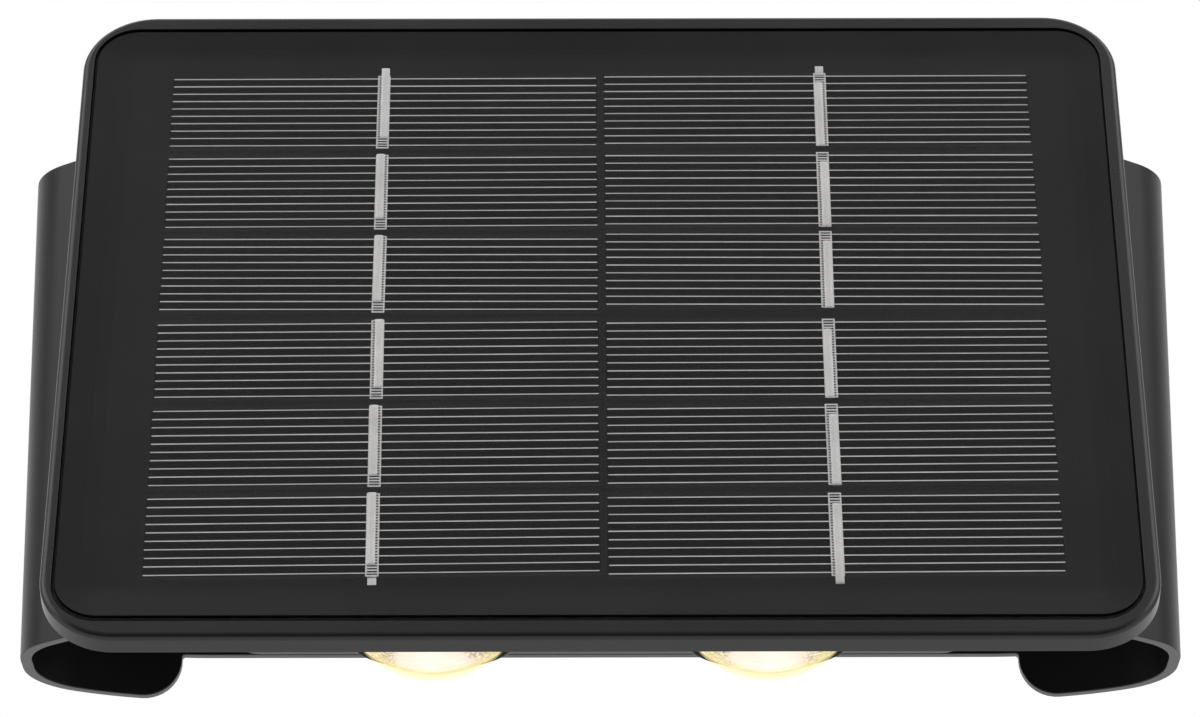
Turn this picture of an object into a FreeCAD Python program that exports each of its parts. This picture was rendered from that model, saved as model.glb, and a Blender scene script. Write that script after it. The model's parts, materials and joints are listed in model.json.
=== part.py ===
import FreeCAD, Part
import math
import os

# A solar fence light. A tilted solar panel in a thin rimmed frame closes a wedge-shaped lamp body.
# Two clear domes look down out of round bosses under the body, and a curved shell wraps the body
# from its flat back plate round to two side wings.
#
# Frame: millimetres, origin at the centre of the flat back that lies on the fence, X to the
# right as seen from the front, Y into the fence, Z up. Everything stands at negative Y.

Vector = FreeCAD.Vector

# ---------------------------------------------------------------- driving sizes
# Wrap shell: a strip bent from the flat back through three arcs into a straight front flap.
shell_height = 61.8
shell_wall = 1.4
shell_back_radius = 35.0      # the slow bend that leaves the back
shell_back_turn = 28.0
shell_side_radius = 10.5      # the tight bend round the side
shell_side_flat = 3.0         # straight stretch at the widest place
shell_front_radius = 9.5
shell_front_turn = 52.0
shell_flap = 12.0             # straight front flap that ends behind the panel
tongue_margin = 3.7           # from the body's side to the tongue of the lower edge
tongue_corner = 5.0
notch_root_radius = 0.4

# Keyholes in the flat back
keyhole_spacing = 72.0
keyhole_entry_radius = 4.2
keyhole_slot_radius = 2.1
keyhole_rise = 8.0
keyhole_drop = 2.0            # how far the entry lies below the centre of the back

# Lamp body: a rounded box behind the panel, open to the front, with a sunk rear bulkhead
body_top = 27.1
body_drop = 25.4              # underside below the origin; the notch follows it
body_wall = 2.0
body_corner = 6.0
back_recess = 4.0             # room behind the bulkhead for the heads of the fence screws

# Panel and its frame
panel_lean = 20.5             # degrees back from upright
panel_reach = 51.25           # from the fence to the middle of the frame's front
panel_rise = 1.0
frame_width = 125.5
frame_height = 96.7
frame_corner = 8.6
frame_edge_bevel = 0.8
pane_width = 121.7
pane_height = 91.4
pane_corner = 5.0
pane_gap = 0.35               # dark joint all round the pane
pane_recess = 0.1
cover_thickness = 0.4
ribbon_thickness = 0.15
cell_thickness = 0.2
backing_thickness = 0.8
adhesive_thickness = 0.2
adhesive_width = 6.0
adhesive_inset = 2.0          # tape clear of the pane's edge
frame_floor = 0.9
gasket_thickness = 0.8
spigot_depth = 3.0
spigot_wall = 1.5

# Solar cells: two columns of six strips in series
cell_columns = 2
cell_rows = 6
cell_width = 51.9
cell_height = 12.9
cell_pitch_x = 52.25
cell_pitch_y = 13.2
cells_drop = 0.3              # the cells sit a little low in the pane
ribbon_width = 1.0
ribbon_stub = 1.6             # ribbon that runs on past the end cells

# Lenses, the bosses round them and what lies behind them
lens_spacing = 40.0
lens_reach = 25.3             # lens axis from the fence
dome_radius = 11.8
lens_radius = 9.5
dome_chords = 3               # the dome is turned from this many chords of its sphere
lens_flange = 1.2
lens_flange_width = 1.1
boss_wall = 1.6
reflector_height = 6.6
reflector_wall = 1.2
led_size = 3.5
led_height = 0.8

# Boards
board_thickness = 1.6
led_board_depth = 18.0
led_board_margin = 3.5
led_post_radius = 2.5
led_post_gap = 1.4            # from a lens flange to the post beside it
control_width = 60.0
control_height = 30.0
control_lift = 6.0            # centre of the control board above the panel's middle
control_standoff = 4.0        # front of the control board behind the frame's back
rail_width = 3.0              # slotted rails that hold the control board's two ends
rail_lip = 1.2

# Push switch between the lenses
button_radius = 3.5
button_proud = 1.8
button_flange_radius = 4.6
button_flange = 1.0
button_travel = 1.2
switch_size = 8.0
switch_height = 3.6
stem_radius = 1.5
stem_entry = 1.0              # stem inside the switch at rest

# Battery, its cradle and contacts
battery_radius = 9.2
battery_length = 64.0
battery_nub_radius = 3.0
battery_nub = 1.2
battery_height = 10.1         # battery axis above the origin
cradle_wall = 1.5
cradle_foot_height = 24.0
cradle_hook_length = 10.0     # two hooks on the bulkhead hold the cradle's foot
cradle_hook_wall = 1.6
contact_thickness = 0.4
contact_spring_length = 4.0   # how far the sprung contact stands off the end wall

# Fixings
pillar_radius = 3.2
pillar_gap = 0.8              # pillar clear of the body's inner faces and of the light board
frame_screw_length = 14.0
shell_screw_spacing = 44.0
shell_screw_height = 11.1     # above the centre of the back
shell_screw_length = 6.9
standoff_radius = 3.6
screw_radius = 1.45
screw_head_radius = 2.8
screw_head_height = 1.8
small_screw_radius = 0.95
small_screw_head_radius = 1.9
small_screw_head_height = 1.2
small_screw_length = 6.0

# Leads
lead_radius = 0.6
lead_bend = 2.0               # how far from a corner it is cut off
lead_sides = 6
lead_slot_length = 8.0        # slot in the frame's floor for the panel's two leads
lead_slot_width = 3.0
lead_pair_spacing = 3.0

# Clearances
fit = 0.1                     # between pieces that are pushed together and stay
running = 0.06                # radial, round what slides
screw_fit = 0.05              # round a screw's shank
seat = 0.02                   # between faces that meet but move apart
far = 300.0                   # longer than anything here, for cutting tools


# ---------------------------------------------------------------- worked-out places
panel_centre = Vector(0, -panel_reach, panel_rise)
panel_turn = FreeCAD.Rotation(Vector(1, 0, 0), 90 - panel_lean)

# depths below the frame's front, measured along the panel's normal
cover_front = -pane_recess
cover_back = cover_front - cover_thickness
cell_front = cover_back - ribbon_thickness
cell_back = cell_front - cell_thickness
backing_back = cell_back - backing_thickness
floor_front = backing_back - adhesive_thickness
frame_back = floor_front - frame_floor
gasket_back = frame_back - gasket_thickness
control_front = frame_back - control_standoff
control_back = control_front - board_thickness

plate_inner_y = -shell_wall
bulkhead_rear_y = plate_inner_y - back_recess
bulkhead_front_y = bulkhead_rear_y - body_wall
floor_low = -body_drop
floor_high = floor_low + body_wall
shell_screw_places = [(side * shell_screw_spacing / 2, shell_screw_height) for side in (-1, 1)]

lens_places = {"left": -lens_spacing / 2, "right": lens_spacing / 2}
boss_low = -shell_height / 2
dome_centre_z = boss_low + math.sqrt(dome_radius ** 2 - lens_radius ** 2)
lens_flange_high = floor_high + lens_flange
lens_flange_radius = lens_radius + lens_flange_width
led_board_low = lens_flange_high + reflector_height
led_board_high = led_board_low + board_thickness
led_post_x = lens_spacing / 2 + lens_flange_radius + led_post_gap + led_post_radius
led_board_half = led_post_x + led_board_margin

# the body is as wide as the light board with a screw pillar at each end, and so is the flat back
pillar_inset = body_wall + pillar_gap + pillar_radius
pillar_x = led_board_half + pillar_gap + pillar_radius
pillar_places = [(side * pillar_x, height) for side in (-1, 1)
                 for height in (floor_low + pillar_inset, body_top - pillar_inset)]
body_width = 2 * (pillar_x + pillar_inset)
shell_flat_half = body_width / 2
tongue_half = body_width / 2 + tongue_margin

button_flange_low = floor_high + seat
button_flange_high = button_flange_low + button_flange
switch_low = led_board_low - switch_height

battery_y = bulkhead_front_y - cradle_wall - battery_radius - fit
cradle_inner = battery_radius + fit
cradle_outer = cradle_inner + cradle_wall
cradle_bay_half = (battery_length + battery_nub + contact_spring_length + 2 * contact_thickness) / 2
cradle_half = cradle_bay_half + cradle_wall
cradle_hook_x = cradle_half - cradle_hook_length

solar_lead_v = control_lift - control_height / 2 - 2 * lead_bend - lead_slot_width


# ---------------------------------------------------------------- shape helpers
def on_panel(shape):
    """Carries a shape from the panel's own axes (right, up the panel, outwards) into the row."""
    shape.Placement = FreeCAD.Placement(panel_centre, panel_turn).multiply(shape.Placement)
    return shape


def turned(shape, axis, angle):
    shape.rotate(Vector(0, 0, 0), axis, angle)
    return shape


def moved(shape, x, y, z):
    shape.translate(Vector(x, y, z))
    return shape


def face_front(shape):
    """Turns a shape built along +Z so that it runs along -Y, out of the fence."""
    return turned(shape, Vector(1, 0, 0), 90)


def face_back(shape):
    """Turns a shape built along +Z so that it runs along +Y, into the fence."""
    return turned(shape, Vector(1, 0, 0), -90)


def block(x_low, x_high, y_low, y_high, z_low, z_high):
    return Part.makeBox(x_high - x_low, y_high - y_low, z_high - z_low, Vector(x_low, y_low, z_low))


def rod(radius, low, high, x=0.0, y=0.0):
    return Part.makeCylinder(radius, high - low, Vector(x, y, low))


def tube(outer, inner, low, high, x=0.0, y=0.0):
    return rod(outer, low, high, x, y).cut(rod(inner, low, high, x, y))


def rounded_prism(width, height, corner, low, high):
    """A block with round upright corners, centred on the Z axis."""
    prism = block(-width / 2, width / 2, -height / 2, height / 2, low, high)
    upright = [edge for edge in prism.Edges if edge.BoundBox.ZLength > (high - low) / 2]
    return prism.makeFillet(corner, upright)


def revolved(points):
    """Turns a closed outline of (radius, height) points about the Z axis."""
    outline = [Vector(radius, 0, height) for radius, height in points]
    face = Part.Face(Part.makePolygon(outline + outline[:1]))
    return face.revolve(Vector(0, 0, 0), Vector(0, 0, 1), 360)


def solid_of(shape):
    """The one solid of a boolean's result, as a bare solid."""
    clean = shape.removeSplitter()
    return clean.Solids[0] if len(clean.Solids) == 1 else clean


def group(shapes):
    return Part.makeCompound(shapes)


def save(name, shape):
    shape.exportStep("parts/" + name + ".step")


# ---------------------------------------------------------------- wrap shell
def strip_side(inset):
    """One long side of the left half of the bent strip, from the middle of the back to the flap."""
    position = Vector(0, -inset, 0)
    heading = math.pi
    edges = []
    steps = [("line", shell_flat_half), ("arc", shell_back_radius, shell_back_turn),
             ("arc", shell_side_radius, 90 - shell_back_turn), ("line", shell_side_flat),
             ("arc", shell_front_radius, shell_front_turn), ("line", shell_flap)]
    for step in steps:
        ahead = Vector(math.cos(heading), math.sin(heading), 0)
        if step[0] == "line":
            end = position + ahead * step[1]
            edges.append(Part.LineSegment(position, end).toShape())
        else:
            radius = step[1] - inset
            turn = math.radians(step[2])
            centre = position + Vector(-ahead.y, ahead.x, 0) * radius
            to_start = position - centre
            middle = centre + turned_about_z(to_start, turn / 2)
            end = centre + turned_about_z(to_start, turn)
            edges.append(Part.Arc(position, middle, end).toShape())
            heading += turn
        position = end
    return edges, position, Vector(math.cos(heading), math.sin(heading), 0)


def turned_about_z(vector, angle):
    cosine, sine = math.cos(angle), math.sin(angle)
    return Vector(vector.x * cosine - vector.y * sine, vector.x * sine + vector.y * cosine, 0)


def strip_half():
    """The left half of the bent strip, with a round end on its flap."""
    outer, outer_end, ahead = strip_side(0.0)
    inner, inner_end, ahead = strip_side(shell_wall)
    tip = (outer_end + inner_end) * 0.5 + ahead * (shell_wall / 2)
    end = Part.Arc(outer_end, tip, inner_end).toShape()
    middle = Part.LineSegment(Vector(0, -shell_wall, 0), Vector(0, 0, 0)).toShape()
    outline = Part.Wire(Part.__sortEdges__(outer + [end] + inner + [middle]))
    half = Part.Face(outline).extrude(Vector(0, 0, shell_height))
    return moved(half, 0, 0, -shell_height / 2)


def notch_tool():
    """What is cut from the lower middle edge: it leaves two tongues with round inner corners."""
    top = floor_low
    low = -shell_height / 2
    corner = min(tongue_corner, 0.9 * (top - low))
    root = notch_root_radius
    side = tongue_half
    lift = math.sqrt(0.5)
    edges = []
    for sign in (-1, 1):
        edges += [
            Part.LineSegment(Vector(sign * (side - root), 0, top), Vector(0, 0, top)).toShape(),
            Part.Arc(Vector(sign * (side - root), 0, top),
                     Vector(sign * (side - root * (1 - lift)), 0, top - root * (1 - lift)),
                     Vector(sign * side, 0, top - root)).toShape(),
            Part.LineSegment(Vector(sign * side, 0, top - root),
                             Vector(sign * side, 0, low + corner)).toShape(),
            Part.Arc(Vector(sign * side, 0, low + corner),
                     Vector(sign * (side + corner * (1 - lift)), 0, low + corner * (1 - lift)),
                     Vector(sign * (side + corner), 0, low)).toShape(),
            Part.LineSegment(Vector(sign * (side + corner), 0, low),
                             Vector(sign * (side + corner), 0, low - shell_wall)).toShape(),
            Part.LineSegment(Vector(sign * (side + corner), 0, low - shell_wall),
                             Vector(0, 0, low - shell_wall)).toShape()]
    face = Part.Face(Part.Wire(Part.__sortEdges__(edges)))
    depth = shell_wall + back_recess + 2 * shell_wall
    return moved(face.extrude(Vector(0, -depth, 0)), 0, shell_wall, 0)


def keyhole_tool(x):
    """A round entry and a narrower slot above it, through the flat back."""
    entry_z = -keyhole_drop
    low, high = -shell_wall, 2 * shell_wall
    entry = moved(face_front(rod(keyhole_entry_radius, low, high)), x, 0, entry_z)
    top = moved(face_front(rod(keyhole_slot_radius, low, high)), x, 0, entry_z + keyhole_rise)
    slot = block(x - keyhole_slot_radius, x + keyhole_slot_radius, -high, -low,
                 entry_z, entry_z + keyhole_rise)
    return entry.fuse([slot, top])


def sunk_head():
    """The countersink of a shell screw, opening towards the fence."""
    depth = screw_head_radius - screw_radius
    return revolved([(0, 0), (screw_head_radius, 0), (screw_radius, -depth), (0, -depth)])


def make_wrap_shell():
    half = strip_half()
    shell = half.fuse(half.mirror(Vector(0, 0, 0), Vector(1, 0, 0)))
    tools = [notch_tool()]
    tools += [keyhole_tool(side * keyhole_spacing / 2) for side in (-1, 1)]
    for x, z in shell_screw_places:
        tools.append(moved(face_back(sunk_head()), x, 0, z))
        tools.append(moved(face_front(rod(screw_radius + screw_fit, -1, 2 * shell_wall)), x, 0, z))
    return solid_of(shell.cut(tools))


# ---------------------------------------------------------------- lamp body
def body_prism(inset, near, far_away):
    """The body's rounded cross-section, drawn in by inset, between two distances from the fence."""
    height = body_top - floor_low
    corner = max(body_corner - inset, 0.5)
    prism = rounded_prism(body_width - 2 * inset, height - 2 * inset, corner, near, far_away)
    return moved(face_front(prism), 0, 0, (body_top + floor_low) / 2)


def in_front_of(depth):
    """Everything outwards of a plane at this depth below the frame's front."""
    return on_panel(block(-far, far, -far, far, depth, far))


def cradle_hook(side):
    """An L-shaped hook on the bulkhead, over the upper or lower edge of the cradle's foot."""
    half = cradle_hook_length / 2
    edge = cradle_foot_height / 2 + fit
    front = bulkhead_front_y - cradle_wall - fit
    arm = block(-half, half, front - cradle_hook_wall, bulkhead_front_y + fit, edge,
                edge + cradle_hook_wall)
    lip = block(-half, half, front - cradle_hook_wall, front, edge - cradle_hook_wall / 2, edge + fit)
    hook = arm.fuse(lip)
    if side < 0:
        turned(hook, Vector(0, 1, 0), 180)
    return moved(hook, side * cradle_hook_x, 0, battery_height)


def make_lamp_body():
    """Outer walls, sunk bulkhead, lens bosses, posts and standoffs, open towards the panel."""
    body = body_prism(0, shell_wall, far / 2)
    body = body.cut([body_prism(body_wall, -bulkhead_front_y, far),
                     body_prism(body_wall, 0, -bulkhead_rear_y), in_front_of(gasket_back)])
    added = [rod(lens_radius + fit + boss_wall, boss_low, floor_low + fit, x, -lens_reach)
             for x in lens_places.values()]
    added += [rod(led_post_radius, floor_high - fit, led_board_low, side * led_post_x, -lens_reach)
              for side in (-1, 1)]
    added += [moved(face_front(rod(standoff_radius, shell_wall, -bulkhead_rear_y + fit)), x, 0, z)
              for x, z in shell_screw_places]
    added += [cradle_hook(side) for side in (-1, 1)]
    body = body.fuse(added)
    holes = [rod(lens_radius + fit, boss_low - 1, floor_high + 1, x, -lens_reach)
             for x in lens_places.values()]
    holes.append(rod(button_radius + running, floor_low - 1, floor_high + 1, 0, -lens_reach))
    holes += [rod(small_screw_radius + screw_fit, led_board_high - small_screw_length - fit,
                  led_board_low + 1, side * led_post_x, -lens_reach) for side in (-1, 1)]
    for x, z in shell_screw_places:
        holes.append(moved(face_front(rod(screw_radius + screw_fit, 0, shell_screw_length + fit)),
                           x, 0, z))
    for x, z in pillar_places:
        holes.append(moved(face_front(rod(screw_radius + screw_fit, -bulkhead_rear_y - 1,
                                          -bulkhead_front_y + 1)), x, 0, z))
    return solid_of(body.cut(holes))


# ---------------------------------------------------------------- panel frame and what seals it
def control_rail(side):
    """A rail across one end of the control board, with a slot that the board slides into."""
    end = side * (control_width / 2 + fit)
    inner, outer = end - side * rail_lip, end + side * (rail_width - rail_lip)
    half = control_height / 2
    rail = block(min(inner, outer), max(inner, outer), -half, half, control_back - rail_lip,
                 frame_back + fit)
    slot = block(min(inner, end) - fit, max(inner, end) + fit, -half - 1, half + 1,
                 control_back - fit, control_front + fit)
    slot = slot.common(block(min(inner, end), max(inner, end), -far, far, -far, far))
    return moved(rail.cut(slot), 0, control_lift, 0)


def make_panel_frame():
    """Rim and floor that hold the pane, ribs into the body, screw pillars and board rails."""
    rim = rounded_prism(frame_width, frame_height, frame_corner, frame_back, 0)
    front_edges = [edge for edge in rim.Edges if edge.BoundBox.ZMin > -fit]
    rim = rim.makeChamfer(frame_edge_bevel, front_edges)
    rim = rim.cut([rounded_prism(pane_width + 2 * pane_gap, pane_height + 2 * pane_gap,
                                 pane_corner + pane_gap, floor_front, 1),
                   block(-lead_slot_length / 2, lead_slot_length / 2,
                         solar_lead_v - lead_slot_width / 2, solar_lead_v + lead_slot_width / 2,
                         frame_back - 1, floor_front + 1)])
    frame = on_panel(rim.fuse([control_rail(side) for side in (-1, 1)]))

    inset = body_wall + fit
    spigot = body_prism(inset, 0, far / 2).cut(body_prism(inset + spigot_wall, -1, far))
    reach = body_corner + body_wall
    ribs = [block(-body_width / 2 + reach, body_width / 2 - reach, -far, 0, -far, far),
            block(-far, far, -far, 0, floor_low + reach, body_top - reach)]
    spigot = spigot.common(ribs[0].fuse(ribs[1]))
    spigot = spigot.cut([in_front_of(frame_back), behind(gasket_back - spigot_depth)])
    pillars = []
    for x, z in pillar_places:
        pillar = moved(face_front(rod(pillar_radius, -bulkhead_front_y + fit, far / 2)), x, 0, z)
        pillars.append(pillar.cut(in_front_of(frame_back)))
    frame = frame.fuse([spigot] + pillars)

    reach = -bulkhead_rear_y + frame_screw_length + fit
    holes = [moved(face_front(rod(screw_radius + screw_fit, 0, reach)), x, 0, z)
             for x, z in pillar_places]
    return solid_of(frame.cut(holes))


def behind(depth):
    """Everything inwards of a plane at this depth below the frame's front."""
    return on_panel(block(-far, far, -far, far, -far, depth))


def make_body_gasket():
    """A flat ring between the body's slanted open edge and the back of the panel frame."""
    ring = body_prism(0, 0, far / 2).cut(body_prism(body_wall, -1, far))
    return solid_of(ring.cut([in_front_of(frame_back), behind(gasket_back)]))


# ---------------------------------------------------------------- solar pane
def cell_places():
    return [((i - (cell_columns - 1) / 2) * cell_pitch_x,
             (j - (cell_rows - 1) / 2) * cell_pitch_y - cells_drop)
            for i in range(cell_columns) for j in range(cell_rows)]


def make_pane_layer(front, back):
    return on_panel(rounded_prism(pane_width, pane_height, pane_corner, back, front))


def make_solar_cells():
    cells = [block(u - cell_width / 2, u + cell_width / 2, v - cell_height / 2,
                   v + cell_height / 2, cell_back, cell_front) for u, v in cell_places()]
    return group([on_panel(cell) for cell in cells])


def make_cell_ribbons():
    """One tinned ribbon down each cell, with a stub past the first and last cell of a column."""
    ribbons = []
    column_half = ((cell_rows - 1) * cell_pitch_y + cell_height) / 2
    for u, v in cell_places():
        low, high = v - cell_height / 2, v + cell_height / 2
        if high + cells_drop > column_half - cell_height / 2:
            high += ribbon_stub
        if low + cells_drop < cell_height / 2 - column_half:
            low -= ribbon_stub
        ribbons.append(on_panel(block(u - ribbon_width / 2, u + ribbon_width / 2, low, high,
                                      cell_front, cover_back)))
    return group(ribbons)


def make_adhesive():
    """Four strips of double-sided foam tape under the edges of the pane."""
    half_u = pane_width / 2 - adhesive_inset
    half_v = pane_height / 2 - pane_corner
    strips = []
    for side in (-1, 1):
        u = side * (half_u - adhesive_width / 2)
        strips.append(block(u - adhesive_width / 2, u + adhesive_width / 2, -half_v, half_v,
                            floor_front, backing_back))
        v = side * (pane_height / 2 - adhesive_inset - adhesive_width / 2)
        reach = half_u - adhesive_width - pane_gap
        strips.append(block(-reach, reach, v - adhesive_width / 2, v + adhesive_width / 2,
                            floor_front, backing_back))
    return group([on_panel(strip) for strip in strips])


# ---------------------------------------------------------------- lenses
def make_lens(x):
    """A clear plug: domed end below the boss, straight side inside it, flange on the floor."""
    widest = math.asin(lens_radius / dome_radius)
    angles = [widest * step / dome_chords for step in range(dome_chords + 1)]
    dome = [(dome_radius * math.sin(angle), dome_centre_z - dome_radius * math.cos(angle))
            for angle in angles]
    lens = revolved(dome + [(lens_radius, floor_high), (lens_flange_radius, floor_high),
                            (lens_flange_radius, lens_flange_high), (0, lens_flange_high)])
    return moved(lens, x, -lens_reach, 0)


def make_reflector(x):
    """A white tube that stands on the lens flange and is held down by the light board."""
    outer = lens_flange_radius - fit
    return tube(outer, outer - reflector_wall, lens_flange_high, led_board_low, x, -lens_reach)


# ---------------------------------------------------------------- light board and switch
def make_led_board():
    y = -lens_reach
    board = block(-led_board_half, led_board_half, y - led_board_depth / 2,
                  y + led_board_depth / 2, led_board_low, led_board_high)
    holes = [rod(small_screw_radius + screw_fit, led_board_low - 1, led_board_high + 1,
                 side * led_post_x, y) for side in (-1, 1)]
    return board.cut(holes)


def make_led_chips():
    half = led_size / 2
    return group([block(x - half, x + half, -lens_reach - half, -lens_reach + half,
                        led_board_low - led_height, led_board_low)
                  for x in lens_places.values()])


def make_switch_body():
    half = switch_size / 2
    case = block(-half, half, -lens_reach - half, -lens_reach + half, switch_low, led_board_low)
    depth = stem_entry + button_travel + fit
    return case.cut(rod(stem_radius + running, switch_low - 1, switch_low + depth, 0, -lens_reach))


def make_switch_button():
    """Head through the floor, with a flange above it that stops on the floor."""
    low = floor_low - button_proud
    button = revolved([(0, low), (button_radius, low), (button_radius, button_flange_low),
                       (button_flange_radius, button_flange_low),
                       (button_flange_radius, button_flange_high), (0, button_flange_high)])
    return moved(button, 0, -lens_reach, 0)


def make_switch_stem():
    return rod(stem_radius, button_flange_high, switch_low + stem_entry, 0, -lens_reach)


# ---------------------------------------------------------------- control board
def on_board(shape, u, v):
    """Puts a component built on +Z from zero onto the back of the control board."""
    turned(shape, Vector(1, 0, 0), 180)
    moved(shape, u, v + control_lift, control_back)
    return on_panel(shape)


def make_control_board():
    half_u, half_v = control_width / 2, control_height / 2
    return on_panel(block(-half_u, half_u, control_lift - half_v, control_lift + half_v,
                          control_back, control_front))


def make_control_chip():
    """The charging chip: a flat moulded block on two rows of four feet."""
    length, width, height, pitch = 5.0, 4.0, 1.5, 1.27
    case = block(-length / 2, length / 2, -width / 2, width / 2, 0.2, height)
    feet = [block(pitch * (i - 1.5) - 0.2, pitch * (i - 1.5) + 0.2, -width / 2 - 1, width / 2 + 1,
                  0, 0.5) for i in range(4)]
    return on_board(solid_of(case.fuse(feet)), -12.0, 2.0)


def make_charge_coil():
    """The step-up coil, a drum on its end."""
    return on_board(rod(3.0, 0, 4.0), 0.0, 1.0)


def make_capacitor():
    return on_board(rod(2.0, 0, 4.0), 11.0, 1.0)


# ---------------------------------------------------------------- battery
def battery_frame(shape):
    """Lays a shape built along +Z onto the battery's axis, along +X."""
    turned(shape, Vector(0, 1, 0), 90)
    return moved(shape, 0, battery_y, battery_height)


battery_low = -cradle_bay_half + contact_thickness + contact_spring_length
battery_high = battery_low + battery_length


def make_battery():
    can = revolved([(0, battery_low), (battery_radius, battery_low),
                    (battery_radius, battery_high), (battery_nub_radius, battery_high),
                    (battery_nub_radius, battery_high + battery_nub), (0, battery_high + battery_nub)])
    return battery_frame(can)


def make_cradle():
    """A trough round the back of the battery, closed at both ends, on a flat hooked foot."""
    trough = rod(cradle_outer, -cradle_half, cradle_half)
    trough = battery_frame(trough.cut(rod(cradle_inner, -cradle_bay_half, cradle_bay_half)))
    open_from = battery_y - battery_radius / 3
    trough = trough.cut(block(-cradle_bay_half, cradle_bay_half, open_from - far, open_from,
                              -far, far))
    half = cradle_foot_height / 2
    foot = block(-cradle_half, cradle_half, bulkhead_front_y - cradle_wall, bulkhead_front_y,
                 battery_height - half, battery_height + half)
    foot = foot.cut(battery_frame(rod(cradle_inner, -cradle_bay_half, cradle_bay_half)))
    return solid_of(trough.fuse(foot).cut([tab_block(side, fit) for side in (-1, 1)]))


def tab_block(side, gap):
    """The tab of a contact where it passes through the cradle's end wall."""
    half = battery_radius / 4 + gap
    inner, outer = cradle_bay_half - contact_thickness, cradle_half + contact_thickness
    tab = block(min(side * inner, side * outer), max(side * inner, side * outer), battery_y - half,
                battery_y + half, battery_height - contact_thickness / 2 - gap,
                battery_height + contact_thickness / 2 + gap)
    return tab


def make_contact_plate(side):
    """A square sprung-steel plate inside the end wall, with a tab out through it."""
    half = battery_radius / 1.6
    inner, outer = cradle_bay_half - contact_thickness, cradle_bay_half
    plate = block(min(side * inner, side * outer), max(side * inner, side * outer),
                  battery_y - half / 2, battery_y + half, battery_height - half,
                  battery_height + half)
    return solid_of(plate.fuse(tab_block(side, 0)))


def make_contact_spring():
    """A bowed leaf between the negative plate and the battery's flat end."""
    low = -cradle_bay_half + contact_thickness
    half = battery_radius / 1.6
    bow = Part.Arc(Vector(low, -half, 0), Vector(battery_low, 0, 0), Vector(low, half, 0)).toShape()
    back = Part.Arc(Vector(low, half - contact_thickness, 0),
                    Vector(battery_low - contact_thickness, 0, 0),
                    Vector(low, contact_thickness - half, 0)).toShape()
    ends = [Part.LineSegment(Vector(low, side * half, 0),
                             Vector(low, side * (half - contact_thickness), 0)).toShape()
            for side in (-1, 1)]
    face = Part.Face(Part.Wire(Part.__sortEdges__([bow, back] + ends)))
    width = battery_radius / 2
    leaf = turned(face.extrude(Vector(0, 0, width)), Vector(1, 0, 0), 90)
    return moved(leaf, 0, battery_y + width / 2, battery_height)


# ---------------------------------------------------------------- leads
def lead(points):
    """A lead along straight runs, with a many-sided section and each corner cut off slantwise."""
    path = points[:1]
    for before, corner, after in zip(points, points[1:], points[2:]):
        path += [corner + (before - corner).normalize() * lead_bend,
                 corner + (after - corner).normalize() * lead_bend]
    path += points[-1:]
    runs = [(end - start).normalize() for start, end in zip(path, path[1:])]
    across = runs[0].cross(Vector(0, 0, 1) if abs(runs[0].z) < 0.7 else Vector(1, 0, 0)).normalize()
    beside = runs[0].cross(across)
    turns = [2 * math.pi * step / lead_sides for step in range(lead_sides)]
    ring = [path[0] + (across * math.cos(turn) + beside * math.sin(turn)) * lead_radius
            for turn in turns]
    rings = [ring]
    for point, into, out in zip(path[1:], runs, runs[1:] + runs[-1:]):
        mitre = into + out
        ring = [corner + into * ((point - corner).dot(mitre) / into.dot(mitre)) for corner in ring]
        rings.append(ring)
    return Part.makeLoft([Part.makePolygon(ring + ring[:1]) for ring in rings], True, True)


def panel_point(u, v, depth):
    return panel_centre + panel_turn.multVec(Vector(u, v, depth))


def board_end(u, v):
    """Where a lead is soldered on the back of the control board, and a point straight off it."""
    return (panel_point(u, v + control_lift, control_back),
            panel_point(u, v + control_lift, control_back - 2 * lead_bend))


def make_solar_leads():
    """From the panel through the floor's slot, and back into the lower edge of the control board."""
    turn_depth = control_back - 2 * lead_bend
    board_v = control_lift - control_height / 2 + 2 * lead_bend
    leads = []
    for u in (-lead_pair_spacing / 2, lead_pair_spacing / 2):
        leads.append(lead([panel_point(u, solar_lead_v, backing_back),
                           panel_point(u, solar_lead_v, turn_depth),
                           panel_point(u, board_v, turn_depth),
                           panel_point(u, board_v, control_back)]))
    return group(leads)


def make_battery_leads():
    """From each contact's tab, forward beside the cradle and in to the control board."""
    leads = []
    for side in (-1, 1):
        tab = Vector(side * (cradle_half + contact_thickness), battery_y, battery_height)
        out = tab + Vector(side * 1.5 * lead_bend, 0, 0)
        u = side * (control_width / 2 - 3 * rail_width)
        end, off = board_end(u, 0)
        leads.append(lead([tab, out, Vector(out.x, off.y, off.z), off, end]))
    return group(leads)


def make_led_leads():
    """From the top of the light board, forward and up to the lower part of the control board."""
    leads = []
    for side in (-1, 1):
        u = side * control_width / 5
        start = Vector(u, -lens_reach - led_board_depth / 4, led_board_high)
        end, off = board_end(u, -control_height / 3)
        leads.append(lead([start, start + Vector(0, 0, 2 * lead_bend), off, end]))
    return group(leads)


# ---------------------------------------------------------------- screws
def screw(radius, length, head_radius, head_height):
    """A round-headed screw with the underside of its head at zero, pointing down -Z."""
    return revolved([(0, -length), (radius, -length), (radius, 0), (head_radius, 0),
                     (head_radius, head_height), (0, head_height)])


def make_frame_screws():
    fixing = screw(screw_radius, frame_screw_length, screw_head_radius, screw_head_height)
    return group([moved(face_back(fixing.copy()), x, bulkhead_rear_y, z)
                  for x, z in pillar_places])


def make_shell_screws():
    """Flush countersunk screws from the fence side through the shell into the standoffs."""
    depth = screw_head_radius - screw_radius
    outline = [(0, 0), (screw_head_radius, 0), (screw_radius, -depth),
               (screw_radius, -shell_screw_length), (0, -shell_screw_length)]
    return group([moved(face_back(revolved(outline)), x, 0, z) for x, z in shell_screw_places])


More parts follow.
